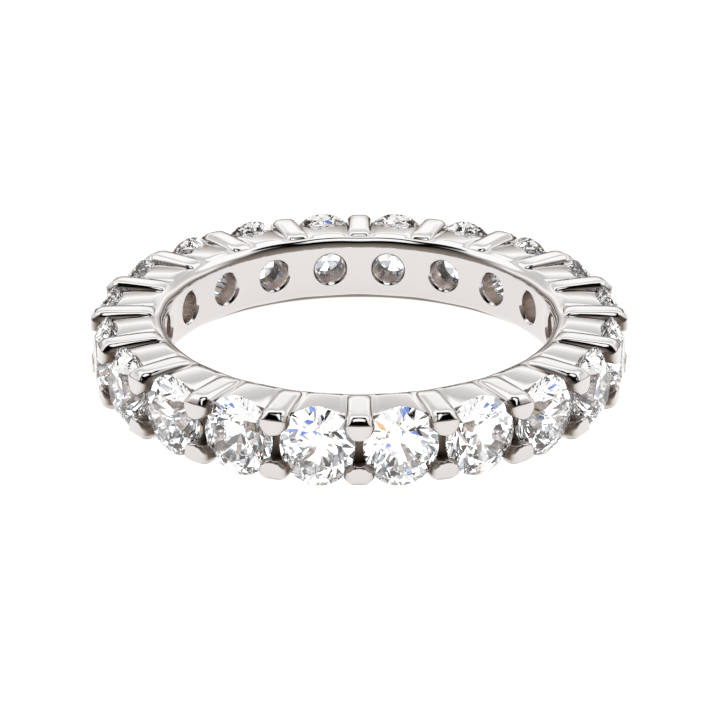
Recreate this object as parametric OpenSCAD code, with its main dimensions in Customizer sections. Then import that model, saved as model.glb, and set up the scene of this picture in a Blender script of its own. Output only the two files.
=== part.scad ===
// Full eternity ring: twenty brilliant-cut stones in one row, held by shared claws.
// Millimetres. The finger axis is Z, the ring lies on its side and stands on Z = 0.
// A claw faces -Y; the stones are numbered anticlockwise from the one right of it.
// The stones' edges reach a little lower than the claws, so the ring lies on them.

/* [Finger band] */
// Inside diameter of the finger hole
finger_d = 17; // [15:0.1:20]
// Height of the band along the finger
band_h = 2.86; // [2.3:0.02:2.9]
// Rounding of the two rims that touch the finger
rim_r = 0.42; // [0.15:0.01:0.5]
// Metal between the finger and the points of the stones
culet_wall = 1.15; // [0.9:0.05:1.6]

/* [Stones] */
// Size of a stone along the finger axis
stone_h = 3.56; // [3:0.02:3.7]
// Gap between the girdles of two neighbouring stones
stone_gap = 0.33; // [0.25:0.01:0.5]
// Thickness of the girdle, the stone's outer edge
girdle_t = 0.1; // [0.05:0.01:0.15]
// Space left between a stone and the metal
seat_clear = 0.04; // [0.02:0.01:0.08]

/* [Claws] */
// Height over the upper and lower claw tips
claw_h = 3.4; // [3.2:0.05:3.7]
// Diameter of the rounded claw tips
tip_d = 1.16; // [1:0.02:1.3]
// How far the tips stand out past the girdles
tip_reach = 0.75; // [0.6:0.05:0.85]
// Gap between the upper and the lower tip
tip_gap = 0.6; // [0.3:0.05:0.9]
// Width of the bar that leads to each tip
bar_w = 1.1; // [0.8:0.02:1.16]
// Width of the flat on top of the bar
bar_flat_w = 0.84; // [0.5:0.02:0.9]
// Distance from the finger wall to the inner end of the bar
bar_start = 0.52; // [0.5:0.02:1]
// Height of the bar above the band's face
bar_rise = 0.16; // [0.1:0.01:0.3]
// Height of the bevel along the top of the bar
bar_bevel = 0.12; // [0.05:0.01:0.2]

/* [Band face] */
// Width of the flat bottom of the groove beside each claw bar
groove_flat_w = 0.1; // [0.05:0.01:0.15]
// Width of the groove's slope up to the bridge
groove_w = 0.26; // [0.1:0.02:0.3]
// Depth of the groove
groove_d = 0.14; // [0.05:0.01:0.3]

/* [Drilled holes] */
// Diameter of the hole that lets light in under each stone
hole_d = 1.42; // [1:0.02:1.5]
// Bevel round the mouth of that hole
hole_bevel = 0.08; // [0.04:0.01:0.12]

/* [Hidden] */
stone_count = 20;
pitch_angle = 360 / stone_count;
first_claw_angle = -90;

// Proportions of the cut, as shares of the stone's width
crown_share = 0.18;
pavilion_share = 0.43;
// Shares of the girdle's radius at which the facets meet
table_share = 0.55;
star_share = 0.76;
lower_share = 0.24;

finger_r = finger_d / 2;
// Width of a stone, from the room that the ring's circle gives it
pitch_ratio = 2 * tan(pitch_angle / 2);
stone_w = (pitch_ratio * (finger_r + culet_wall) - stone_gap) / (1 - pitch_ratio * pavilion_share);
pavilion_h = pavilion_share * stone_w;
crown_h = crown_share * stone_w;
girdle_r = finger_r + culet_wall + pavilion_h;
// Level of the ring's mid-plane over the table that it lies on
middle_z = max(stone_h, claw_h) / 2;
// Levels of the band's face and of the bars' tops over the mid-plane
band_z = band_h / 2;
bar_z = band_z + bar_rise;
// The band ends just inside the girdles, which leaves the stones' edges free
band_margin = 0.25;
band_r = girdle_r - band_margin;

tip_r = tip_d / 2;
tip_centre_r = girdle_r + tip_reach - tip_r;
tip_low_z = tip_gap / 2;
tip_high_z = claw_h / 2;
// The grooves start where the rounded rim ends; a bar ends at the axis of its tip
groove_start_r = finger_r + rim_r + 0.02;
bar_start_r = finger_r + bar_start;
bar_base_z = 0.7 * band_z;
// How far a cutter runs past the face it opens
cut_past = 0.02;
facets_round = 96;

function stone_number(k) = k < 10 ? str("0", k) : str(k);
function stone_node(k) = str("stone_", stone_number(k));

// Places a claw's or a stone's own frame: +X points out of the ring, Z = 0 at its middle.
module at_angle(angle) {
    translate([0, 0, middle_z]) rotate([0, 0, angle]) children();
}

// Turns a profile drawn as (across, up) into a bar along +X from r0 to r1.
module radial_bar(r0, r1) {
    translate([r0, 0, 0]) rotate([90, 0, 90]) linear_extrude(height = r1 - r0) children();
}

// Section of the band: a straight finger wall with a quarter round at each rim.
module band_section() {
    difference() {
        translate([finger_r, -band_z]) square([band_r - finger_r, band_h]);
        for (side = [-1, 1]) difference() {
            translate([finger_r, side > 0 ? band_z - rim_r : -band_z]) square(rim_r);
            translate([finger_r + rim_r, side * (band_z - rim_r)]) circle(r = rim_r, $fn = facets_round);
        }
    }
}

// Grooves that part the claw bars from the bridges, on both faces.
module groove_cuts() {
    inner_y = 0.42 * bar_w;
    low_y = bar_w / 2 + groove_flat_w;
    outer_y = low_y + groove_w * (1 + cut_past / groove_d);
    radial_bar(groove_start_r, band_r + cut_past)
        for (up = [-1, 1], side = [-1, 1])
            polygon([
                [side * inner_y, up * (band_z + cut_past)],
                [side * inner_y, up * (band_z - groove_d)],
                [side * low_y, up * (band_z - groove_d)],
                [side * outer_y, up * (band_z + cut_past)]
            ]);
}

// Section of a claw's bar: its flat top has a bevel on each side.
module bar_section() {
    polygon([
        [-bar_w / 2, bar_base_z],
        [bar_w / 2, bar_base_z],
        [bar_w / 2, bar_z - bar_bevel],
        [bar_flat_w / 2, bar_z],
        [-bar_flat_w / 2, bar_z],
        [-bar_w / 2, bar_z - bar_bevel]
    ]);
}

// Plan of a claw bar: its inner end is round.
module bar_plan() {
    end_r = 0.6 * bar_w;
    translate([bar_start_r + end_r, 0]) circle(r = end_r, $fn = facets_round);
    translate([bar_start_r + end_r, -end_r]) square([tip_centre_r - bar_start_r, 2 * end_r]);
}

// Rounded tip that laps over the edges of two stones.
module claw_tip() {
    translate([tip_centre_r, 0, 0])
        rotate_extrude($fn = facets_round) {
            intersection() {
                for (z = [tip_low_z + tip_r, tip_high_z - tip_r])
                    translate([0, z]) circle(r = tip_r, $fn = facets_round);
                square([tip_d, claw_h]);
            }
            translate([0, tip_low_z + tip_r])
                square([tip_r, tip_high_z - tip_low_z - tip_d]);
        }
}

module claw() {
    for (flip = [0, 1]) mirror([0, 0, flip]) {
        intersection() {
            radial_bar(bar_start_r, tip_centre_r) bar_section();
            linear_extrude(height = claw_h) bar_plan();
        }
        claw_tip();
    }
}

// Room for one stone: a round cone below and above the girdle, trimmed at the sides.
module seat_cut() {
    half_long = stone_h / 2 + seat_clear;
    half_wide = stone_w / 2 + seat_clear;
    low_x = girdle_r - girdle_t / 2 - pavilion_h - 2 * seat_clear;
    girdle_low_x = girdle_r - girdle_t / 2 - seat_clear;
    girdle_high_x = girdle_r + girdle_t / 2 + seat_clear;
    top_x = girdle_r + girdle_t / 2 + crown_h + seat_clear;
    table_long = table_share * stone_h / 2 + seat_clear;
    table_wide = table_share * stone_w / 2 + seat_clear;
    intersection() {
        rotate([0, 90, 0]) rotate_extrude($fn = facets_round)
            polygon([
                [0, low_x],
                [half_long, girdle_low_x],
                [half_long, girdle_high_x],
                [table_long, top_x],
                [0, top_x]
            ]);
        linear_extrude(height = 2 * stone_h, center = true)
            polygon([
                [low_x, 0],
                [girdle_low_x, half_wide],
                [girdle_high_x, half_wide],
                [top_x, table_wide],
                [top_x, -table_wide],
                [girdle_high_x, -half_wide],
                [girdle_low_x, -half_wide]
            ]);
    }
}

// Hole from the finger wall to the stone, with a bevelled mouth.
module light_hole() {
    hole_r = hole_d / 2;
    mouth_r = hole_r + hole_bevel;
    rotate([0, 90, 0]) {
        translate([0, 0, finger_r - hole_r])
            cylinder(h = hole_r + culet_wall + pavilion_h / 2, r = hole_r, $fn = facets_round);
        translate([0, 0, finger_r - hole_bevel])
            cylinder(h = 2 * hole_bevel, r1 = mouth_r + hole_bevel, r2 = mouth_r - hole_bevel, $fn = facets_round);
    }
}

module band() {
    difference() {
        translate([0, 0, middle_z]) rotate_extrude($fn = 2 * facets_round) band_section();
        for (k = [0 : stone_count - 1])
            at_angle(first_claw_angle + k * pitch_angle) groove_cuts();
    }
}

module setting() {
    color("gainsboro") difference() {
        union() {
            band();
            for (k = [0 : stone_count - 1])
                at_angle(first_claw_angle + k * pitch_angle) claw();
        }
        for (k = [0 : stone_count - 1])
            at_angle(first_claw_angle + (k + 0.5) * pitch_angle) {
                seat_cut();
                light_hole();
            }
    }
}

// Corner k of a ring of n corners, on an oval of the girdle's shape scaled by share.
function oval(share, angle, level) = [
    share * stone_w / 2 * cos(angle),
    share * stone_h / 2 * sin(angle),
    level
];

// Level of a bezel or a main facet's plane at a given share of the girdle's radius.
function crown_level(share) = girdle_t / 2 + crown_h * (1 - share) / (1 - table_share);
function pavilion_level(share) = -girdle_t / 2 - pavilion_h * (1 - share);

// Brilliant cut with the table facing +Z: table, stars, bezels, girdle and pavilion.
module brilliant() {
    step = 360 / 8;
    half = step / 2;
    fine = step / 4;
    flat = cos(half);
    crown_slope = (crown_level(star_share * flat) - girdle_t / 2) / ((1 - star_share) * cos(fine));
    pavilion_slope = (-girdle_t / 2 - pavilion_level(lower_share * flat)) / ((1 - lower_share) * cos(fine));
    dip = 1 - cos(fine);
    points = concat(
        [for (k = [0 : 7]) oval(table_share, k * step, crown_level(table_share))],
        [for (k = [0 : 7]) oval(star_share, k * step + half, crown_level(star_share * flat))],
        [for (k = [0 : 15]) oval(1, k * half, girdle_t / 2)],
        [for (k = [0 : 15]) oval(1, k * half + fine, girdle_t / 2 - crown_slope * dip)],
        [for (k = [0 : 15]) oval(1, k * half, -girdle_t / 2)],
        [for (k = [0 : 15]) oval(1, k * half + fine, -girdle_t / 2 + pavilion_slope * dip)],
        [for (k = [0 : 7]) oval(lower_share, k * step + half, pavilion_level(lower_share * flat))],
        [[0, 0, pavilion_level(0)]]
    );
    hull() polyhedron(points = points, faces = [[for (k = [0 : len(points) - 1]) k]]);
}

module stone(k) {
    color("aliceblue") at_angle(first_claw_angle + (k - 0.5) * pitch_angle)
        translate([girdle_r, 0, 0]) rotate([90, 0, 90]) brilliant();
}

setting();
for (k = [1 : stone_count])
    stone(k);
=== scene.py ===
import logging
import math
from dataclasses import dataclass, field
from enum import Enum
from typing import Any

import bmesh
import bpy
from mathutils import Matrix, Vector


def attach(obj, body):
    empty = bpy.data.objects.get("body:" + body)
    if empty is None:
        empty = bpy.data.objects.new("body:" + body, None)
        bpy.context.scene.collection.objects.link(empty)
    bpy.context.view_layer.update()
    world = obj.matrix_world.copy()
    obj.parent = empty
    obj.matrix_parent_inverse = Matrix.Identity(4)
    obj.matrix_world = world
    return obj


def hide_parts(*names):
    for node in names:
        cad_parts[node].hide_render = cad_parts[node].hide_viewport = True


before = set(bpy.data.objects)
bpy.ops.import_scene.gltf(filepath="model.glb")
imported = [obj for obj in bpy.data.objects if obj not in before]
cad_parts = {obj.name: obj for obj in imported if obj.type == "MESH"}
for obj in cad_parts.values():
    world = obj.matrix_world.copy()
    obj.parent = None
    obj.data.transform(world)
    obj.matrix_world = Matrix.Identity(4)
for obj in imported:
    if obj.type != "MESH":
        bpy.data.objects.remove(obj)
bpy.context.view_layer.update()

LOG = logging.getLogger("eternity_ring")

# Lengths below are in millimetres, as in the part's source; MM turns them into Blender's metres.
MM = 0.001
# Points closer than these are one: within a drawn sector, and where sectors meet
SECTOR_MERGE = 0.0005
SEAM_MERGE = 0.002
# A point is looked up by its place with this tolerance
SAME_PLACE = 0.00001
# Numbered sockets of the Mix node, when it mixes colours and when it mixes numbers
COLOUR_A, COLOUR_B, COLOUR_OUT = 6, 7, 2
NUMBER_A, NUMBER_B, NUMBER_OUT = 2, 3, 0


class Face(Enum):
    """The two faces of the ring as it lies on its side."""

    UPPER = 1
    LOWER = -1


def linear(hex_colour: str) -> tuple[float, float, float, float]:
    """Turns an sRGB hex colour into linear light.

    Args:
        hex_colour: the colour as "#RRGGBB".

    Returns:
        Linear red, green and blue, and a full alpha.
    """
    channels = []
    for start in (1, 3, 5):
        share = int(hex_colour[start:start + 2], 16) / 255
        channels.append(share / 12.92 if share <= 0.04045 else ((share + 0.055) / 1.055) ** 2.4)
    return (channels[0], channels[1], channels[2], 1.0)


def add_node(
    tree: bpy.types.NodeTree,
    kind: str,
    values: dict[str | int, Any] | None = None,
    links: dict[str | int, bpy.types.NodeSocket] | None = None,
    **settings: Any,
) -> bpy.types.Node:
    """Adds a shader node with its settings, socket values and links.

    Args:
        tree: the node tree that takes the node.
        kind: Blender's name of the node type.
        values: constant values by input socket name or index.
        links: output sockets that feed the inputs, by input name or index.
        **settings: attributes of the node itself.

    Returns:
        The new node.
    """
    node = tree.nodes.new(kind)
    for name, value in settings.items():
        setattr(node, name, value)
    for socket, value in (values or {}).items():
        node.inputs[socket].default_value = value
    for socket, source in (links or {}).items():
        tree.links.new(source, node.inputs[socket])
    return node


@dataclass(frozen=True)
class RingSizes:
    """Sizes that the pieces share, as in the part's source."""

    stone_count: int = 20
    first_claw_deg: float = -90.0
    # Radii of the finger hole and of the band's outer wall
    finger_r: float = 8.5
    band_r: float = 10.757
    # Half the band's height, and the rounding of its rims
    band_half: float = 1.43
    rim_r: float = 0.42
    # Level of the ring's mid-plane over the table
    middle_z: float = 1.78

    @property
    def half_pitch(self) -> float:
        """Half the angle between two claws, in radians."""
        return math.pi / self.stone_count

    def place(self, index: float) -> Matrix:
        """Places a sector's own frame in the ring.

        Args:
            index: claws have whole numbers, and stones lie halfway.

        Returns:
            The matrix from millimetres in the sector's frame to metres in the ring's.
        """
        turn = math.radians(self.first_claw_deg) + 2 * self.half_pitch * index
        lift = Matrix.Translation(Vector((0, 0, self.middle_z)) * MM)
        return lift @ Matrix.Rotation(turn, 4, "Z") @ Matrix.Scale(MM, 4)


def set_ramp(node: bpy.types.Node, stops: tuple[tuple[float, str], ...]) -> None:
    """Gives a colour ramp its stops.

    Args:
        node: the Color Ramp node.
        stops: positions and sRGB hex colours, in order.
    """
    elements = node.color_ramp.elements
    while len(elements) > 1:
        elements.remove(elements[-1])
    elements[0].position, elements[0].color = stops[0][0], linear(stops[0][1])
    for position, colour in stops[1:]:
        elements.new(position).color = linear(colour)


def soft_zone(
    tree: bpy.types.NodeTree, borders: list[tuple[bpy.types.NodeSocket, float, float]]
) -> bpy.types.NodeSocket:
    """Picks out a zone with soft borders.

    Args:
        tree: the node tree that takes the nodes.
        borders: for each border the socket of a length in metres, the length in millimetres
            at which the zone's share is 0 and the one at which it is 1.

    Returns:
        A socket that is 1 inside all borders and 0 outside any of them.
    """
    shares = [
        add_node(
            tree, "ShaderNodeMapRange", interpolation_type="SMOOTHSTEP",
            values={"From Min": outside * MM, "From Max": inside * MM}, links={"Value": length},
        ).outputs["Result"]
        for length, outside, inside in borders
    ]
    zone = shares[0]
    for share in shares[1:]:
        both = add_node(tree, "ShaderNodeMath", operation="MULTIPLY", links={0: zone, 1: share})
        zone = both.outputs["Value"]
    return zone


@dataclass(frozen=True)
class WhiteGold:
    """Rhodium-plated white gold, polished: a bright, faintly warm mirror.

    The wheel leaves hair-fine lines that soften the reflections a little. It doesn't reach
    between the stones, where the metal stays dull and is darkened by painted shade, nor into the
    drilled holes, which are a little duller than the polished faces and made warmer and darker
    with painted shade. The undersides of the lower tips, close to the table, carry painted shade
    too. Each border of such a place is a pair of lengths: where the dull finish and the painted
    shade aren't there yet, and where they are full.
    """

    sizes: RingSizes
    name: str = "white_gold_rhodium_polished"
    colour: str = "#DDDBDA"
    # The wheel's lines: their spacing, depth and strength, and the roughness off and on them
    polish_mm: float = 0.12
    polish_detail: float = 2.0
    wave_mm: float = 0.0004
    wave_strength: float = 0.3
    roughness_low: float = 0.03
    roughness_high: float = 0.09
    # Between the stones the metal is dull and darkened by painted shade, out to the domes' edges:
    # inner and outer radius, and distance from the ring's mid-plane
    recess_painted_shade: str = "#8A7C70"
    recess_roughness: float = 0.45
    recess_start: tuple[float, float] = (10.67, 10.74)
    recess_end: tuple[float, float] = (11.76, 11.48)
    recess_level: tuple[float, float] = (1.38, 1.15)
    # Underneath the lower tips, painted shade where the table's shade would be mirrored: how
    # strong, from which radius and up to which height
    tip_shade: float = 0.75
    tip_radius: tuple[float, float] = (11.2, 11.35)
    tip_height: tuple[float, float] = (0.5, 0.33)
    # Walls of the drilled holes, duller and made warmer and darker with painted shade, given as
    # the recesses are
    drilled_painted_shade: str = "#C4B3A8"
    drilled_roughness: float = 0.34
    drilled_start: tuple[float, float] = (8.68, 8.72)
    drilled_end: tuple[float, float] = (9.5, 9.2)
    drilled_level: tuple[float, float] = (1.0, 0.8)

    def build(self) -> bpy.types.Material:
        """Makes the material.

        Returns:
            The new material.
        """
        material = bpy.data.materials.new(self.name)
        material.use_nodes = True
        tree = material.node_tree
        tree.nodes.clear()
        place = add_node(tree, "ShaderNodeTexCoord").outputs["Object"]
        marks = add_node(
            tree, "ShaderNodeTexNoise",
            values={"Scale": 1 / (self.polish_mm * MM), "Detail": self.polish_detail},
            links={"Vector": place},
        )
        gloss = add_node(
            tree, "ShaderNodeMapRange",
            values={"To Min": self.roughness_low, "To Max": self.roughness_high},
            links={"Value": marks.outputs["Fac"]},
        )
        radius, height, over_table = self.positions(tree, place)
        # Painted shade between the stones: this zone darkens the metal's colour and also makes it
        # dull
        recess = soft_zone(tree, [
            (radius, *self.recess_start), (radius, *self.recess_end), (height, *self.recess_level),
        ])
        # Painted shade in the drilled holes: their walls get a warmer, darker colour and a duller
        # finish
        drilled = soft_zone(tree, [
            (radius, *self.drilled_start), (radius, *self.drilled_end),
            (height, *self.drilled_level),
        ])
        # Painted shade under the lower tips, standing for the table's shade mirrored in them
        tips = soft_zone(tree, [(radius, *self.tip_radius), (over_table, *self.tip_height)])
        painted_shade = add_node(
            tree, "ShaderNodeMath", operation="MULTIPLY_ADD", values={1: self.tip_shade},
            links={0: tips, 2: recess}, use_clamp=True,
        )
        hole_shaded = add_node(
            tree, "ShaderNodeMix", data_type="RGBA",
            values={COLOUR_A: linear(self.colour), COLOUR_B: linear(self.drilled_painted_shade)},
            links={"Factor": drilled},
        )
        # The painted shade between the stones and under the lower tips is mixed into the colour
        shaded_colour = add_node(
            tree, "ShaderNodeMix", data_type="RGBA",
            values={COLOUR_B: linear(self.recess_painted_shade)},
            links={"Factor": painted_shade.outputs["Value"], COLOUR_A: hole_shaded.outputs[COLOUR_OUT]},
        )
        drilled_gloss = add_node(
            tree, "ShaderNodeMix", data_type="FLOAT",
            values={NUMBER_B: self.drilled_roughness},
            links={"Factor": drilled, NUMBER_A: gloss.outputs["Result"]},
        )
        dull = add_node(
            tree, "ShaderNodeMix", data_type="FLOAT",
            values={NUMBER_B: self.recess_roughness},
            links={"Factor": recess, NUMBER_A: drilled_gloss.outputs[NUMBER_OUT]},
        )
        bump = add_node(
            tree, "ShaderNodeBump",
            values={"Strength": self.wave_strength, "Distance": self.wave_mm * MM},
            links={"Height": marks.outputs["Fac"]},
        )
        metal = add_node(
            tree, "ShaderNodeBsdfPrincipled",
            values={"Metallic": 1.0},
            links={
                "Base Color": shaded_colour.outputs[COLOUR_OUT], "Roughness": dull.outputs[NUMBER_OUT],
                "Normal": bump.outputs["Normal"],
            },
        )
        add_node(tree, "ShaderNodeOutputMaterial", links={"Surface": metal.outputs["BSDF"]})
        return material

    def positions(
        self, tree: bpy.types.NodeTree, place: bpy.types.NodeSocket
    ) -> tuple[bpy.types.NodeSocket, bpy.types.NodeSocket, bpy.types.NodeSocket]:
        """Works out where in the ring a point lies.

        Args:
            tree: the material's node tree.
            place: the object's coordinates.

        Returns:
            The distances from the finger axis, from the ring's mid-plane and from the table.
        """
        flat = add_node(
            tree, "ShaderNodeVectorMath", operation="MULTIPLY",
            values={1: (1.0, 1.0, 0.0)}, links={0: place},
        )
        radius = add_node(
            tree, "ShaderNodeVectorMath", operation="LENGTH", links={0: flat.outputs["Vector"]},
        )
        split = add_node(tree, "ShaderNodeSeparateXYZ", links={"Vector": place})
        level = add_node(
            tree, "ShaderNodeMath", operation="SUBTRACT",
            values={1: self.sizes.middle_z * MM}, links={0: split.outputs["Z"]},
        )
        height = add_node(
            tree, "ShaderNodeMath", operation="ABSOLUTE", links={0: level.outputs["Value"]},
        )
        return radius.outputs["Value"], height.outputs["Value"], split.outputs["Z"]


@dataclass(frozen=True)
class Diamond:
    """Colourless diamond, cut and polished: clear, with facets that part light into patches.

    A diamond's index is 2.42. A lower one is matched to the ring: fewer rays turn back inside
    the stones and more leave them, so that they show an even white with few black patches.
    """

    name: str = "diamond_brilliant_polished"
    colour: str = "#FDFEFF"
    ior: float = 2.05
    roughness: float = 0.0

    def build(self) -> bpy.types.Material:
        """Makes the material.

        Returns:
            The new material.
        """
        material = bpy.data.materials.new(self.name)
        material.use_nodes = True
        tree = material.node_tree
        tree.nodes.clear()
        gem = add_node(
            tree, "ShaderNodeBsdfPrincipled",
            values={
                "Base Color": linear(self.colour), "Transmission Weight": 1.0,
                "Roughness": self.roughness, "IOR": self.ior,
            },
        )
        add_node(tree, "ShaderNodeOutputMaterial", links={"Surface": gem.outputs["BSDF"]})
        return material


@dataclass(frozen=True)
class TableAcrylic:
    """White acrylic sheet, moulded matt and lit from below: an even white without a grain.

    It gets dimmer far from the ring, and a line of shade lies on it under the metal.
    """

    name: str = "white_acrylic_table"
    colour: str = "#8C8C8C"
    roughness: float = 0.6
    glow_strength: float = 0.95
    near_glow: str = "#FFFDFB"
    far_glow: str = "#A8A29C"
    shade_colour: str = "#6E655E"
    # The sheet glows evenly to the first radius and is dim past the second
    sheet_r: tuple[float, float] = (46.0, 130.0)
    # The shade's inner and outer border: each radius where it isn't there, and where it is full
    shade_in_r: tuple[float, float] = (9.3, 9.45)
    shade_out_r: tuple[float, float] = (10.0, 9.8)

    def build(self) -> bpy.types.Material:
        """Makes the material.

        Returns:
            The new material.
        """
        material = bpy.data.materials.new(self.name)
        material.use_nodes = True
        tree = material.node_tree
        tree.nodes.clear()
        place = add_node(tree, "ShaderNodeTexCoord")
        far = add_node(
            tree, "ShaderNodeVectorMath", operation="LENGTH", links={0: place.outputs["Object"]},
        ).outputs["Value"]
        glow = add_node(
            tree, "ShaderNodeMix", data_type="RGBA",
            values={COLOUR_A: linear(self.near_glow), COLOUR_B: linear(self.far_glow)},
            links={"Factor": soft_zone(tree, [(far, *self.sheet_r)])},
        )
        under = soft_zone(tree, [(far, *self.shade_in_r), (far, *self.shade_out_r)])
        shaded = add_node(
            tree, "ShaderNodeMix", data_type="RGBA",
            values={COLOUR_B: linear(self.shade_colour)},
            links={"Factor": under, COLOUR_A: glow.outputs[COLOUR_OUT]},
        )
        sheet = add_node(
            tree, "ShaderNodeBsdfPrincipled",
            values={
                "Base Color": linear(self.colour), "Roughness": self.roughness,
                "Emission Strength": self.glow_strength,
            },
            links={"Emission Color": shaded.outputs[COLOUR_OUT]},
        )
        add_node(tree, "ShaderNodeOutputMaterial", links={"Surface": sheet.outputs["BSDF"]})
        return material


def extrude_rows(mesh: bmesh.types.BMesh, rows: list[list[Vector]]) -> None:
    """Extrudes an open line of edges from row to row.

    Args:
        mesh: the mesh that takes the strip.
        rows: the places of each row's points; every row has as many.
    """
    line = [mesh.verts.new(point) for point in rows[0]]
    edges = [mesh.edges.new(pair) for pair in zip(line, line[1:])]
    for row in rows[1:]:
        made = bmesh.ops.extrude_edge_only(mesh, edges=edges)["geom"]
        fresh = {item for item in made if isinstance(item, bmesh.types.BMVert)}
        line = [
            next(edge.other_vert(old) for edge in old.link_edges if edge.other_vert(old) in fresh)
            for old in line
        ]
        for vert, point in zip(line, row):
            vert.co = point
        edges = [mesh.edges.get(pair) for pair in zip(line, line[1:])]


def repeat_round(mesh: bmesh.types.BMesh, sizes: RingSizes, first: float) -> None:
    """Copies a sector's mesh all the way round the ring and places it.

    Args:
        mesh: the mesh of one sector, in its own frame in millimetres.
        sizes: the ring's shared sizes.
        first: the sector's index, whole for a claw and halfway for a stone.
    """
    bmesh.ops.transform(mesh, matrix=sizes.place(first), verts=mesh.verts)
    bmesh.ops.spin(
        mesh, geom=mesh.verts[:] + mesh.edges[:] + mesh.faces[:], cent=(0, 0, 0), axis=(0, 0, 1),
        angle=2 * sizes.half_pitch * (sizes.stone_count - 1), steps=sizes.stone_count - 1,
        use_duplicate=True,
    )


def finish_piece(
    mesh: bmesh.types.BMesh, name: str, material: bpy.types.Material, sharp_deg: float
) -> bpy.types.Object:
    """Makes an object of a mesh, shades it and lets it ride on the ring.

    Args:
        mesh: the finished mesh, in metres.
        name: the piece's name.
        material: its finish.
        sharp_deg: edges that turn by more than this stay crisp.

    Returns:
        The new object.
    """
    data = bpy.data.meshes.new(name)
    mesh.to_mesh(data)
    mesh.free()
    data.shade_smooth()
    data.set_sharp_from_angle(angle=math.radians(sharp_deg))
    data.materials.append(material)
    piece = bpy.data.objects.new(name, data)
    bpy.context.scene.collection.objects.link(piece)
    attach(piece, "root")
    LOG.info("%s: %d faces", name, len(data.polygons))
    return piece


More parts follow.
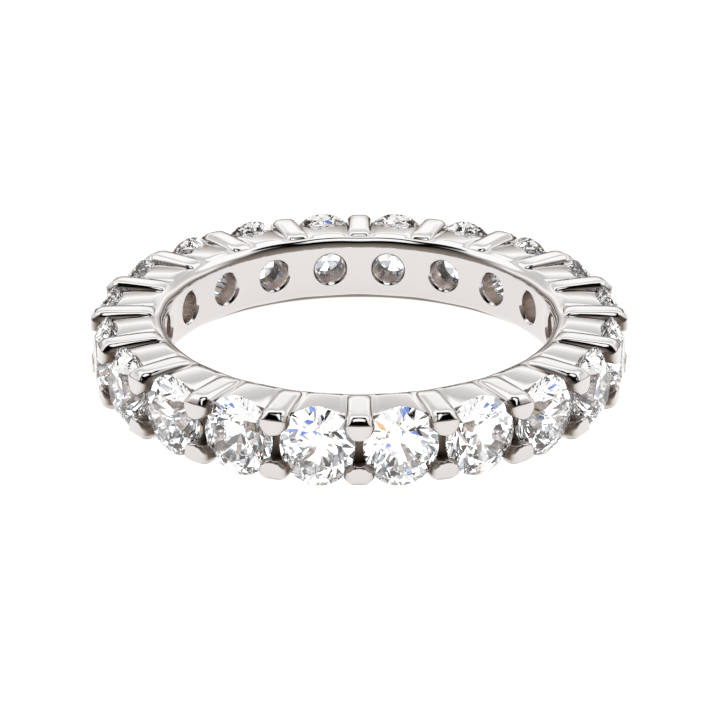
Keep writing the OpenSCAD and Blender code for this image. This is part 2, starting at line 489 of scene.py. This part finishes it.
@dataclass
class FingerBand:
    """The band under the stones: finger wall, drilled holes, rims, bridges and seats."""

    sizes: RingSizes
    # Crown of a bridge: its rise, its share at the rim, half its width, and its fall at a
    # millimetre past the rim
    crown_rise: float = 0.09
    crown_at_rim: float = 0.3
    crown_half: float = 1.15
    outer_fall: float = 0.035
    # Groove beside a claw: its depth, and where its slope starts and ends, counted from the
    # claw's mid-plane
    groove_depth: float = 0.02
    groove_start: float = 0.84
    groove_end: float = 0.62
    # Width over which the crown and the groove set in past the rim
    fade_width: float = 0.2
    # Power of the rim's curve: 2 gives a quarter circle, and less gives a flatter rounding
    rim_power: float = 1.8
    # Drilled hole: its radius, its mouth's bevel as width and depth, and the bevel's soft edges
    hole_r: float = 0.71
    mouth_bevel: tuple[float, float] = (0.085, 0.115)
    mouth_soft: float = 0.012
    # How far a soft edge's middle row lies inside its corner, as a share of the soft edge
    soft_tuck: float = 0.1
    # Distances of the hole's inner rows from the finger axis; the seat starts at the last
    hole_x: tuple[float, ...] = (9.0, 9.5, 10.07)
    # The seat's cone: where its point lies, its slope, and half its width at the band's outside
    seat_tip_x: float = 9.52
    seat_slope: float = 0.7676
    seat_half_wide: float = 1.433
    # Rounding of the face's outer edge, and the angles of its rows
    edge_round: float = 0.045
    edge_turns: tuple[float, ...] = (30, 60, 90)
    # Rows of the mesh down a quarter of the finger wall
    wall_levels: int = 8
    # Columns of the face: shares of the way from the bridge's middle to the seat's corner, and
    # distances from the claw's mid-plane
    seat_columns: tuple[float, ...] = (0.0, 0.25, 0.5, 0.75, 1.0)
    claw_side: tuple[float, ...] = (0.92, 0.84, 0.78, 0.73, 0.68, 0.62, 0.3, 0.0)
    # Rows of the face: distances from the finger wall, then shares of the rest of the way out
    rim_offsets: tuple[float, ...] = (0.0, 0.014, 0.054, 0.12, 0.204, 0.3, 0.42)
    face_shares: tuple[float, ...] = (0.04, 0.08, 0.13, 0.22, 0.34, 0.48, 0.62, 0.78, 0.9, 1.0)
    # Rows between the wall's border and the hole's mouth, and between the hole and the face
    panel_shares: tuple[float, ...] = (0.4, 0.75)
    cone_shares: tuple[float, ...] = (0.33, 0.66, 1.0)

    @property
    def corner_index(self) -> int:
        """Which column ends at the seat's corner."""
        return len(self.seat_columns) - 1

    def seat_edge_x(self, across: float, level: float) -> float:
        """Distance from the axis at which the seat's cone reaches a point of its rim."""
        return self.seat_tip_x + self.seat_slope * math.hypot(across, level)

    def corner_across(self) -> float:
        """Finds where the cone, the band's face and its outer wall meet.

        Returns:
            The distance of that corner from the stone's mid-plane.
        """
        low, high = 0.0, self.seat_half_wide
        halvings = 40
        for _ in range(halvings):
            middle = (low + high) / 2
            outside = math.sqrt(self.sizes.band_r ** 2 - middle ** 2)
            if self.seat_edge_x(middle, self.sizes.band_half) < outside:
                low = middle
            else:
                high = middle
        return low

    def plan_point(self, radius: float, from_claw: float) -> Vector:
        """A point in plan at a radius and a distance from the claw's mid-plane."""
        angle = self.sizes.half_pitch - math.asin(from_claw / radius)
        return Vector((radius * math.cos(angle), radius * math.sin(angle), 0))

    def columns(self) -> list[tuple[Vector, Vector]]:
        """Lines in plan from the finger wall to the outer edge, for half a bridge.

        Returns:
            The inner and outer end of each column, from the bridge's middle to the claw's.
        """
        corner = self.corner_across()
        first_in = self.plan_point(self.sizes.finger_r, self.claw_side[0]).y
        first_out = self.plan_point(self.sizes.band_r, self.claw_side[0]).y
        lines = []
        over_seat = [share * corner for share in self.seat_columns]
        for across in over_seat + [(corner + first_out) / 2]:
            inner_y = across * first_in / first_out
            inner_x = math.sqrt(self.sizes.finger_r ** 2 - inner_y ** 2)
            if across <= corner:
                outer_x = self.seat_edge_x(across, self.sizes.band_half)
            else:
                outer_x = math.sqrt(self.sizes.band_r ** 2 - across ** 2)
            lines.append((Vector((inner_x, inner_y, 0)), Vector((outer_x, across, 0))))
        for from_claw in self.claw_side:
            lines.append((
                self.plan_point(self.sizes.finger_r, from_claw),
                self.plan_point(self.sizes.band_r, from_claw),
            ))
        return lines

    def face_level(self, point: Vector) -> float:
        """Level of the band's face: a crown along the bridge and a groove at the claw.

        Towards the rim the groove fades out and the crown gets lower.

        Args:
            point: a point in plan.

        Returns:
            The height over the ring's mid-plane.
        """
        half = self.sizes.half_pitch
        from_claw = point.x * math.sin(half) - point.y * math.cos(half)
        past_rim = max(0.0, point.xy.length - self.sizes.finger_r - self.sizes.rim_r)
        full = self.smooth(past_rim / self.fade_width)
        across = min(1.0, point.y / self.crown_half)
        crown = self.crown_rise * (1 - across ** 2) - self.outer_fall * past_rim ** 2
        groove = self.groove_depth * self.smooth(
            (self.groove_start - from_claw) / (self.groove_start - self.groove_end)
        )
        crown *= self.crown_at_rim + (1 - self.crown_at_rim) * full
        return self.sizes.band_half + crown - full * groove

    @staticmethod
    def smooth(share: float) -> float:
        """A soft step from 0 to 1 while the share goes from 0 to 1."""
        share = min(1.0, max(0.0, share))
        return share * share * (3 - 2 * share)

    def rim_level(self, point: Vector) -> float:
        """Level of the band's surface, with its rim rounded towards the finger.

        Args:
            point: a point in plan.

        Returns:
            The height over the ring's mid-plane.
        """
        straight = self.sizes.band_half - self.sizes.rim_r
        inside = 1 - min(1.0, (point.xy.length - self.sizes.finger_r) / self.sizes.rim_r)
        power = self.rim_power
        rise = max(0.0, 1 - inside ** power) ** (1 / power)
        return straight + (self.face_level(point) - straight) * rise

    @staticmethod
    def at_radius(column: tuple[Vector, Vector], radius: float) -> Vector:
        """Finds the point of a column's line that lies at a radius.

        Args:
            column: the line's inner and outer end.
            radius: the distance from the finger axis.

        Returns:
            The point in plan.
        """
        start, run = column[0], column[1] - column[0]
        a, b, c = run.length_squared, 2 * start.dot(run), start.length_squared - radius ** 2
        return start + run * ((-b + math.sqrt(b * b - 4 * a * c)) / (2 * a))

    def face_rows(self) -> list[list[Vector]]:
        """Rows over the rim and the face, out to the rounded outer edge, for half a bridge.

        Returns:
            The rows, each from the bridge's middle to the claw's mid-plane.
        """
        rows: list[list[Vector]] = []
        columns = self.columns()
        inner_r = self.sizes.finger_r
        for offset in self.rim_offsets:
            rows.append([self.at_radius(column, inner_r + offset) for column in columns])
        start_r = inner_r + self.rim_offsets[-1]
        for share in self.face_shares:
            row = []
            for column in columns:
                end_r = column[1].length - self.edge_round
                row.append(self.at_radius(column, start_r + (end_r - start_r) * share))
            rows.append(row)
        for row in rows:
            for point in row:
                point.z = self.rim_level(point)
        last = rows[-1]
        for turn in self.edge_turns:
            out = self.edge_round * math.sin(math.radians(turn))
            down = self.edge_round * (1 - math.cos(math.radians(turn)))
            row = []
            for point, column in zip(last, columns):
                moved = self.at_radius(column, point.xy.length + out)
                moved.z = point.z - down
                row.append(moved)
            rows.append(row)
        return rows

    def wall_border(self) -> list[Vector]:
        """Border of a quarter of the finger wall's panel round its hole.

        Returns:
            Points from the middle of the upper edge to the middle of the side.
        """
        level = self.sizes.band_half - self.sizes.rim_r
        border = [Vector((line[0].x, line[0].y, level)) for line in self.columns()]
        corner = border[-1]
        for step in range(1, self.wall_levels + 1):
            border.append(Vector((corner.x, corner.y, level * (1 - step / self.wall_levels))))
        return border

    def seat_border(self, edge: list[Vector]) -> list[Vector]:
        """Border of a quarter of the seat where it meets the band's outside.

        Args:
            edge: the outer edge of the band's face, from the bridge's middle to the claw's.

        Returns:
            As many points as the wall's border has.
        """
        border = [point.copy() for point in edge[:self.corner_index + 1]]
        left = len(self.wall_border()) - len(border)
        corner = border[-1]
        reach = math.hypot(corner.y, corner.z)
        start = math.atan2(corner.z, corner.y)
        for step in range(1, left + 1):
            angle = start * (1 - step / left)
            across = min(self.seat_half_wide, reach * math.cos(angle))
            level = reach * math.sin(angle)
            outside = math.sqrt(self.sizes.band_r ** 2 - across ** 2)
            border.append(Vector((outside, across, level)))
        return border

    def hole_rows(self, edge: list[Vector]) -> list[list[Vector]]:
        """Rows from the wall's panel through the hole and up the seat, for a quarter.

        Args:
            edge: the outer edge of the band's face.

        Returns:
            The rows, each from the upper edge's middle to the side's middle.
        """
        border = self.wall_border()
        rays = [Vector((point.y, point.z)).normalized() for point in border]
        wide, deep = self.mouth_bevel
        mouth_r = self.hole_r + wide
        inner_r = self.sizes.finger_r

        def circle(radius: float, depth: float) -> list[Vector]:
            """A quarter circle round the hole's axis.

            Args:
                radius: the circle's radius.
                depth: how far it is sunk below the finger wall.

            Returns:
                A point for each ray.
            """
            return [
                Vector((math.sqrt((inner_r + depth) ** 2 - (radius * ray.x) ** 2),
                        radius * ray.x, radius * ray.y))
                for ray in rays
            ]

        rows = [border]
        for share in self.panel_shares:
            row = []
            for point, ray in zip(border, rays):
                flat = Vector((point.y, point.z)).lerp(ray * mouth_r, share)
                row.append(Vector((math.sqrt(inner_r ** 2 - flat.x ** 2), flat.x, flat.y)))
            rows.append(row)
        soft = self.mouth_soft
        tuck = self.soft_tuck * soft
        for radius, depth in (
            (mouth_r + soft, 0.0), (mouth_r, tuck), (mouth_r - soft, soft),
            (self.hole_r + soft, deep - soft), (self.hole_r + tuck, deep),
            (self.hole_r, deep + soft),
        ):
            rows.append(circle(radius, depth))
        for out in self.hole_x:
            rows.append([Vector((out, ray.x * self.hole_r, ray.y * self.hole_r)) for ray in rays])
        lip = rows[-1]
        seat = self.seat_border(edge)
        for share in self.cone_shares:
            rows.append([low.lerp(high, share) for low, high in zip(lip, seat)])
        return rows

    def post_rows(self, edge: list[Vector]) -> list[list[Vector]]:
        """Rows down the outer wall between a seat and the claw's mid-plane, for a quarter.

        Args:
            edge: the outer edge of the band's face.

        Returns:
            The rows, from the face to the ring's mid-plane.
        """
        top = edge[self.corner_index:]
        left = self.seat_border(edge)[self.corner_index:]
        corner, plane = top[0], top[-1]
        steps = len(left) - 1
        span = plane.y - corner.y
        rows = [[point.copy() for point in top]]
        for step in range(1, steps + 1):
            fall = step / steps
            right_level = plane.z * (1 - fall)
            row = []
            for point in top:
                share = (point.y - corner.y) / span
                bent = point.z - (corner.z + (plane.z - corner.z) * share)
                across = left[step].y + (plane.y - left[step].y) * share
                level = left[step].z + (right_level - left[step].z) * share + bent * (1 - fall)
                outside = math.sqrt(self.sizes.band_r ** 2 - across ** 2)
                row.append(Vector((outside, across, level)))
            row[0] = left[step].copy()
            row[-1] = Vector((plane.x, plane.y, right_level))
            rows.append(row)
        return rows

    def build(self, material: bpy.types.Material) -> bpy.types.Object:
        """Makes a quarter of one sector, mirrors it twice and repeats it round the ring.

        Args:
            material: the metal's finish.

        Returns:
            The band's object.
        """
        mesh = bmesh.new()
        face = self.face_rows()
        extrude_rows(mesh, face)
        extrude_rows(mesh, self.hole_rows(face[-1]))
        extrude_rows(mesh, self.post_rows(face[-1]))
        for axis in ("Y", "Z"):
            bmesh.ops.mirror(
                mesh, geom=mesh.verts[:] + mesh.edges[:] + mesh.faces[:], axis=axis,
                matrix=Matrix.Identity(4), merge_dist=SECTOR_MERGE,
            )
        repeat_round(mesh, self.sizes, 0.5)
        bmesh.ops.remove_doubles(mesh, verts=mesh.verts, dist=SEAM_MERGE * MM)
        bmesh.ops.recalc_face_normals(mesh, faces=mesh.faces)
        open_edges = sum(1 for edge in mesh.edges if not edge.is_manifold)
        LOG.info("finger band: %d open edges", open_edges)
        return finish_piece(mesh, "finger_band", material, sharp_deg=40)


@dataclass(frozen=True)
class ClawStation:
    """One cross-section of a claw: four points of its right half, each (out, up, half width).

    The creases say how crisp the flat's edges are, along the claw and across it.
    """

    top: tuple[float, float, float]
    bevel: tuple[float, float, float]
    side: tuple[float, float, float]
    root: tuple[float, float, float]
    crease: float = 0.0
    cross_crease: float = 0.0

    def ring(self) -> list[Vector]:
        """Mirrors the section's right half to its left.

        Returns:
            Its eight points, from the upper right round to the upper left.
        """
        right = [Vector((out, half, up)) for out, up, half in
                 (self.top, self.bevel, self.side, self.root)]
        left = [Vector((point.x, -point.y, point.z)) for point in reversed(right)]
        return right + left


def bar_station(out: float, top: float, bevel: float, flat: float, half: float,
                crease: float) -> ClawStation:
    """A section of the straight bar, square to the radius.

    Args:
        out: distance from the finger axis.
        top: level of the flat top.
        bevel: level of the bevel's lower edge.
        flat: half width of the flat.
        half: half width of the bar.
        crease: how crisp the flat's edges are.

    Returns:
        The section.
    """
    foot = 0.9
    return ClawStation(
        (out, top, flat), (out, bevel, half), (out, (bevel + foot) / 2, half), (out, foot, half),
        crease,
    )


@dataclass
class ClawRow:
    """All claws of one face: each is a bar with a flat top, a chamfer and a domed tip."""

    sizes: RingSizes
    face: Face
    # From the bar's rounded inner end outwards, down the chamfer and the dome, and in under it
    stations: list[ClawStation] = field(default_factory=lambda: [
        bar_station(8.86, 1.22, 1.12, 0.28, 0.40, 0.2),
        bar_station(8.88, 1.40, 1.29, 0.31, 0.44, 0.3),
        bar_station(8.99, 1.50, 1.37, 0.37, 0.52, 0.4),
        bar_station(9.20, 1.555, 1.40, 0.41, 0.57, 0.4),
        bar_station(9.45, 1.57, 1.41, 0.43, 0.58, 0.55),
        bar_station(9.80, 1.57, 1.41, 0.43, 0.585, 0.55),
        bar_station(10.50, 1.57, 1.41, 0.41, 0.59, 0.55),
        bar_station(11.00, 1.57, 1.41, 0.36, 0.60, 0.4),
        ClawStation((11.23, 1.565, 0.36), (11.14, 1.41, 0.60), (11.02, 1.18, 0.63),
                    (10.85, 0.90, 0.50), 0.35),
        ClawStation((11.36, 1.55, 0.34), (11.25, 1.38, 0.61), (11.06, 1.14, 0.64),
                    (10.85, 0.87, 0.50), 0.35),
        ClawStation((11.475, 1.51, 0.32), (11.35, 1.33, 0.62), (11.10, 1.10, 0.645),
                    (10.85, 0.84, 0.49), 0.5, 0.1),
        ClawStation((11.575, 1.44, 0.32), (11.44, 1.26, 0.63), (11.14, 1.05, 0.65),
                    (10.84, 0.82, 0.48), 0.7, 0.3),
        ClawStation((11.735, 1.265, 0.46), (11.59, 1.15, 0.63), (11.17, 1.01, 0.655),
                    (10.83, 0.79, 0.46), 0.1, 0.95),
        ClawStation((11.752, 1.165, 0.43), (11.625, 1.10, 0.61), (11.20, 0.98, 0.66),
                    (10.82, 0.77, 0.46)),
        ClawStation((11.768, 1.04, 0.41), (11.65, 1.01, 0.585), (11.23, 0.94, 0.66),
                    (10.82, 0.755, 0.46)),
        ClawStation((11.775, 0.88, 0.35), (11.665, 0.84, 0.535), (11.25, 0.83, 0.63),
                    (10.82, 0.75, 0.46)),
        ClawStation((11.775, 0.75, 0.27), (11.67, 0.665, 0.41), (11.27, 0.72, 0.49),
                    (10.84, 0.74, 0.40), 0.5),
        ClawStation((11.77, 0.655, 0.17), (11.675, 0.555, 0.25), (11.27, 0.67, 0.29),
                    (10.90, 0.735, 0.26), 0.7),
        ClawStation((11.77, 0.62, 0.06), (11.675, 0.515, 0.08), (11.27, 0.65, 0.09),
                    (10.95, 0.73, 0.09), 0.7, 0.6),
    ])
    # How crisp the bevel's lower edges are, as a share of the flat's
    bevel_share: float = 0.4
    rounding_levels: int = 2

    def build(self, material: bpy.types.Material) -> bpy.types.Object:
        """Makes one claw as a cage, repeats it round the ring and rounds it by subdivision.

        Args:
            material: the metal's finish.

        Returns:
            The object that holds this face's claws.
        """
        mesh = bmesh.new()
        creases = mesh.edges.layers.float.new("crease_edge")
        rings = [station.ring() for station in self.stations]
        extrude_rows(mesh, [ring + ring[:1] for ring in rings])
        bmesh.ops.remove_doubles(mesh, verts=mesh.verts, dist=SECTOR_MERGE)
        self.close_end(mesh, rings[0])
        self.close_end(mesh, rings[-1])
        for station, ring, following in zip(self.stations, rings, rings[1:]):
            # Points 0 and 7 lie on the flat's edges, 1 and 6 on the bevel's lower edges
            for corner, share in ((0, 1.0), (7, 1.0), (1, self.bevel_share), (6, self.bevel_share)):
                edge = self.edge_between(mesh, ring[corner], following[corner])
                edge[creases] = station.crease * share
            for start, end in ((0, 7), (0, 1), (7, 6)):
                self.edge_between(mesh, ring[start], ring[end])[creases] = station.cross_crease
        if self.face is Face.LOWER:
            bmesh.ops.scale(mesh, vec=(1, 1, -1), verts=mesh.verts)
        repeat_round(mesh, self.sizes, 0)
        bmesh.ops.recalc_face_normals(mesh, faces=mesh.faces)
        name = f"claws_{self.face.name.lower()}"
        piece = finish_piece(mesh, name, material, sharp_deg=180)
        rounding = piece.modifiers.new("rounding", "SUBSURF")
        rounding.levels = rounding.render_levels = self.rounding_levels
        return piece

    @staticmethod
    def vert_at(mesh: bmesh.types.BMesh, place: Vector) -> bmesh.types.BMVert:
        """Finds the cage's corner that lies at a place."""
        return next(vert for vert in mesh.verts if (vert.co - place).length < SAME_PLACE)

    def edge_between(
        self, mesh: bmesh.types.BMesh, start: Vector, end: Vector
    ) -> bmesh.types.BMEdge:
        """Finds the edge of the cage that joins two places."""
        return mesh.edges.get((self.vert_at(mesh, start), self.vert_at(mesh, end)))

    def close_end(self, mesh: bmesh.types.BMesh, ring: list[Vector]) -> None:
        """Closes one end of the cage with a row of quads.

        Args:
            mesh: the claw's cage.
            ring: the eight points of the end section.
        """
        verts = [self.vert_at(mesh, point) for point in ring]
        for step in range(3):
            mesh.faces.new((verts[step], verts[step + 1], verts[6 - step], verts[7 - step]))


@dataclass
class StoneRow:
    """The stones keep their cut from the solids and get their finish."""

    sizes: RingSizes

    def dress(self, material: bpy.types.Material) -> None:
        """Gives every stone the diamond's finish.

        Args:
            material: the diamond's finish.
        """
        for number in range(1, self.sizes.stone_count + 1):
            name = f"stone_{number:02d}"
            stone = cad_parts[name]
            for index in range(len(stone.material_slots)):
                stone.material_slots[index].link = "OBJECT"
                stone.material_slots[index].material = material
            LOG.info("%s dressed", name)


@dataclass(frozen=True)
class LightTent:
    """White tent round the ring, with dark gaps that draw the metal's edges.

    Its walls' colours go by height: 0 is straight down, 0.5 is level and 1 is straight up.
    Light that has passed through a stone comes from a patchwork of bright, grey, blue and amber
    cards instead, so that neighbouring facets differ and the stones sparkle.
    """

    name: str = "light_tent"
    strength: float = 1.35
    # Half the width of the soft change from the front's walls to the back's
    change_half: float = 0.15
    # Cards along a unit of the direction, and how much brighter they are than their colours
    cards_per_unit: float = 5.5
    card_gain: float = 1.5
    front_walls: tuple[tuple[float, str], ...] = (
        (0.0, "#E0DCD8"), (0.50, "#B8B2AC"), (0.54, "#857C75"), (0.67, "#7C736C"),
        (0.82, "#59514A"), (0.88, "#262320"), (0.89, "#020202"), (0.970, "#020202"),
        (0.975, "#FFFFFF"),
    )
    back_walls: tuple[tuple[float, str], ...] = (
        (0.0, "#E8E8E8"), (0.455, "#C8C8C8"), (0.463, "#2A2521"), (0.510, "#0C0A08"),
        (0.535, "#4A433D"), (0.565, "#9C958E"), (0.620, "#C4C0BC"), (0.660, "#E4E2E0"),
        (0.685, "#FFFFFF"), (0.705, "#F2F1F0"), (0.750, "#D4D3D2"), (0.800, "#C4C3C2"),
        (0.830, "#FFFFFF"), (0.935, "#FFFFFF"), (0.945, "#020202"), (0.982, "#020202"),
        (0.988, "#FFFFFF"),
    )
    # The cards' colours, each from its share of the cards up to the next
    cards: tuple[tuple[float, str], ...] = (
        (0.0, "#020202"), (0.16, "#2C2F32"), (0.21, "#4F68AC"), (0.235, "#FFFFFF"),
        (0.43, "#A0A4A8"), (0.57, "#808488"), (0.70, "#54585C"), (0.79, "#FFFFFF"),
        (0.93, "#B08A54"), (0.955, "#FFFFFF"),
    )

    def build(self) -> bpy.types.World:
        """Makes the world.

        Returns:
            The new world.
        """
        world = bpy.data.worlds.new(self.name)
        world.use_nodes = True
        tree = world.node_tree
        tree.nodes.clear()
        way = add_node(tree, "ShaderNodeTexCoord").outputs["Generated"]
        split = add_node(tree, "ShaderNodeSeparateXYZ", links={"Vector": way})
        height = add_node(
            tree, "ShaderNodeMapRange", values={"From Min": -1.0, "From Max": 1.0},
            links={"Value": split.outputs["Z"]},
        )
        front = add_node(tree, "ShaderNodeValToRGB", links={"Fac": height.outputs["Result"]})
        set_ramp(front, self.front_walls)
        back = add_node(tree, "ShaderNodeValToRGB", links={"Fac": height.outputs["Result"]})
        set_ramp(back, self.back_walls)
        side = add_node(
            tree, "ShaderNodeMapRange",
            values={"From Min": -self.change_half, "From Max": self.change_half},
            links={"Value": split.outputs["Y"]},
        )
        walls = add_node(
            tree, "ShaderNodeMix", data_type="RGBA",
            links={
                "Factor": side.outputs["Result"],
                COLOUR_A: front.outputs["Color"], COLOUR_B: back.outputs["Color"],
            },
        )
        cells = add_node(
            tree, "ShaderNodeTexVoronoi", feature="F1",
            values={"Scale": self.cards_per_unit, "Randomness": 1.0}, links={"Vector": way},
        )
        draw = add_node(tree, "ShaderNodeSeparateColor", links={"Color": cells.outputs["Color"]})
        cards = add_node(tree, "ShaderNodeValToRGB", links={"Fac": draw.outputs["Red"]})
        cards.color_ramp.interpolation = "CONSTANT"
        set_ramp(cards, self.cards)
        bright = add_node(
            tree, "ShaderNodeVectorMath", operation="SCALE", values={"Scale": self.card_gain},
            links={0: cards.outputs["Color"]},
        )
        path = add_node(tree, "ShaderNodeLightPath")
        seen = add_node(
            tree, "ShaderNodeMix", data_type="RGBA",
            links={
                "Factor": path.outputs["Transmission Depth"],
                COLOUR_A: walls.outputs[COLOUR_OUT], COLOUR_B: bright.outputs["Vector"],
            },
        )
        light = add_node(
            tree, "ShaderNodeBackground", values={"Strength": self.strength},
            links={"Color": seen.outputs[COLOUR_OUT]},
        )
        add_node(tree, "ShaderNodeOutputWorld", links={"Surface": light.outputs["Background"]})
        return world


@dataclass
class Studio:
    """Camera, pale floor and light tent."""

    sizes: RingSizes
    # The camera looks at the ring's middle from this angle over the floor and this far away
    elevation_deg: float = 23.3
    distance: float = 160.0
    sensor_mm: float = 36.0
    clip_m: tuple[float, float] = (0.001, 10.0)
    # Size of the picture, how large it shows the ring, and where it shows the ring's middle
    frame_px: float = 720.0
    pixels_per_mm: float = 22.77
    centre_px: tuple[float, float] = (359.2, 341.5)
    floor_r: float = 700.0
    floor_sides: int = 64
    # How often light is followed on: in all, and off the metal or through the stones
    bounces: int = 24
    clear_bounces: int = 16

    def camera(self) -> None:
        """Sets the camera at the photograph's angle and framing."""
        data = bpy.data.cameras.new("camera")
        view_width = self.frame_px / self.pixels_per_mm
        data.sensor_width = self.sensor_mm
        data.lens = self.sensor_mm * self.distance / view_width
        data.clip_start, data.clip_end = self.clip_m
        data.shift_x = (self.frame_px / 2 - self.centre_px[0]) / self.frame_px
        data.shift_y = (self.centre_px[1] - self.frame_px / 2) / self.frame_px
        camera = bpy.data.objects.new("camera", data)
        bpy.context.scene.collection.objects.link(camera)
        rise = math.radians(self.elevation_deg)
        target = Vector((0, 0, self.sizes.middle_z)) * MM
        away = Vector((0, -math.cos(rise), math.sin(rise))) * self.distance * MM
        camera.location = target + away
        camera.rotation_euler = (-away).to_track_quat("-Z", "Y").to_euler()
        bpy.context.scene.camera = camera

    def floor(self, material: bpy.types.Material) -> None:
        """Lays the round sheet on which the ring lies.

        Args:
            material: the sheet's finish.
        """
        mesh = bmesh.new()
        bmesh.ops.create_circle(
            mesh, cap_ends=True, segments=self.floor_sides, radius=self.floor_r * MM)
        data = bpy.data.meshes.new("floor")
        mesh.to_mesh(data)
        mesh.free()
        data.materials.append(material)
        floor = bpy.data.objects.new("floor", data)
        bpy.context.scene.collection.objects.link(floor)

    def build(self) -> None:
        """Sets up the camera, the floor and the light."""
        self.camera()
        self.floor(TableAcrylic().build())
        scene = bpy.context.scene
        scene.world = LightTent().build()
        scene.view_settings.view_transform = "Standard"
        scene.cycles.max_bounces = self.bounces
        scene.cycles.glossy_bounces = self.clear_bounces
        scene.cycles.transmission_bounces = self.clear_bounces


def main() -> None:
    """Builds the ring's pieces in order and reports each."""
    logging.basicConfig(level=logging.INFO, format="%(name)s %(message)s")
    sizes = RingSizes()
    Studio(sizes).build()
    metal = WhiteGold(sizes).build()
    band = FingerBand(sizes).build(metal)
    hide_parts("setting")
    for face in Face:
        claws = ClawRow(sizes, face).build(metal)
        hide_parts("setting")
    StoneRow(sizes).dress(Diamond().build())


if __name__ == "__main__":
    main()
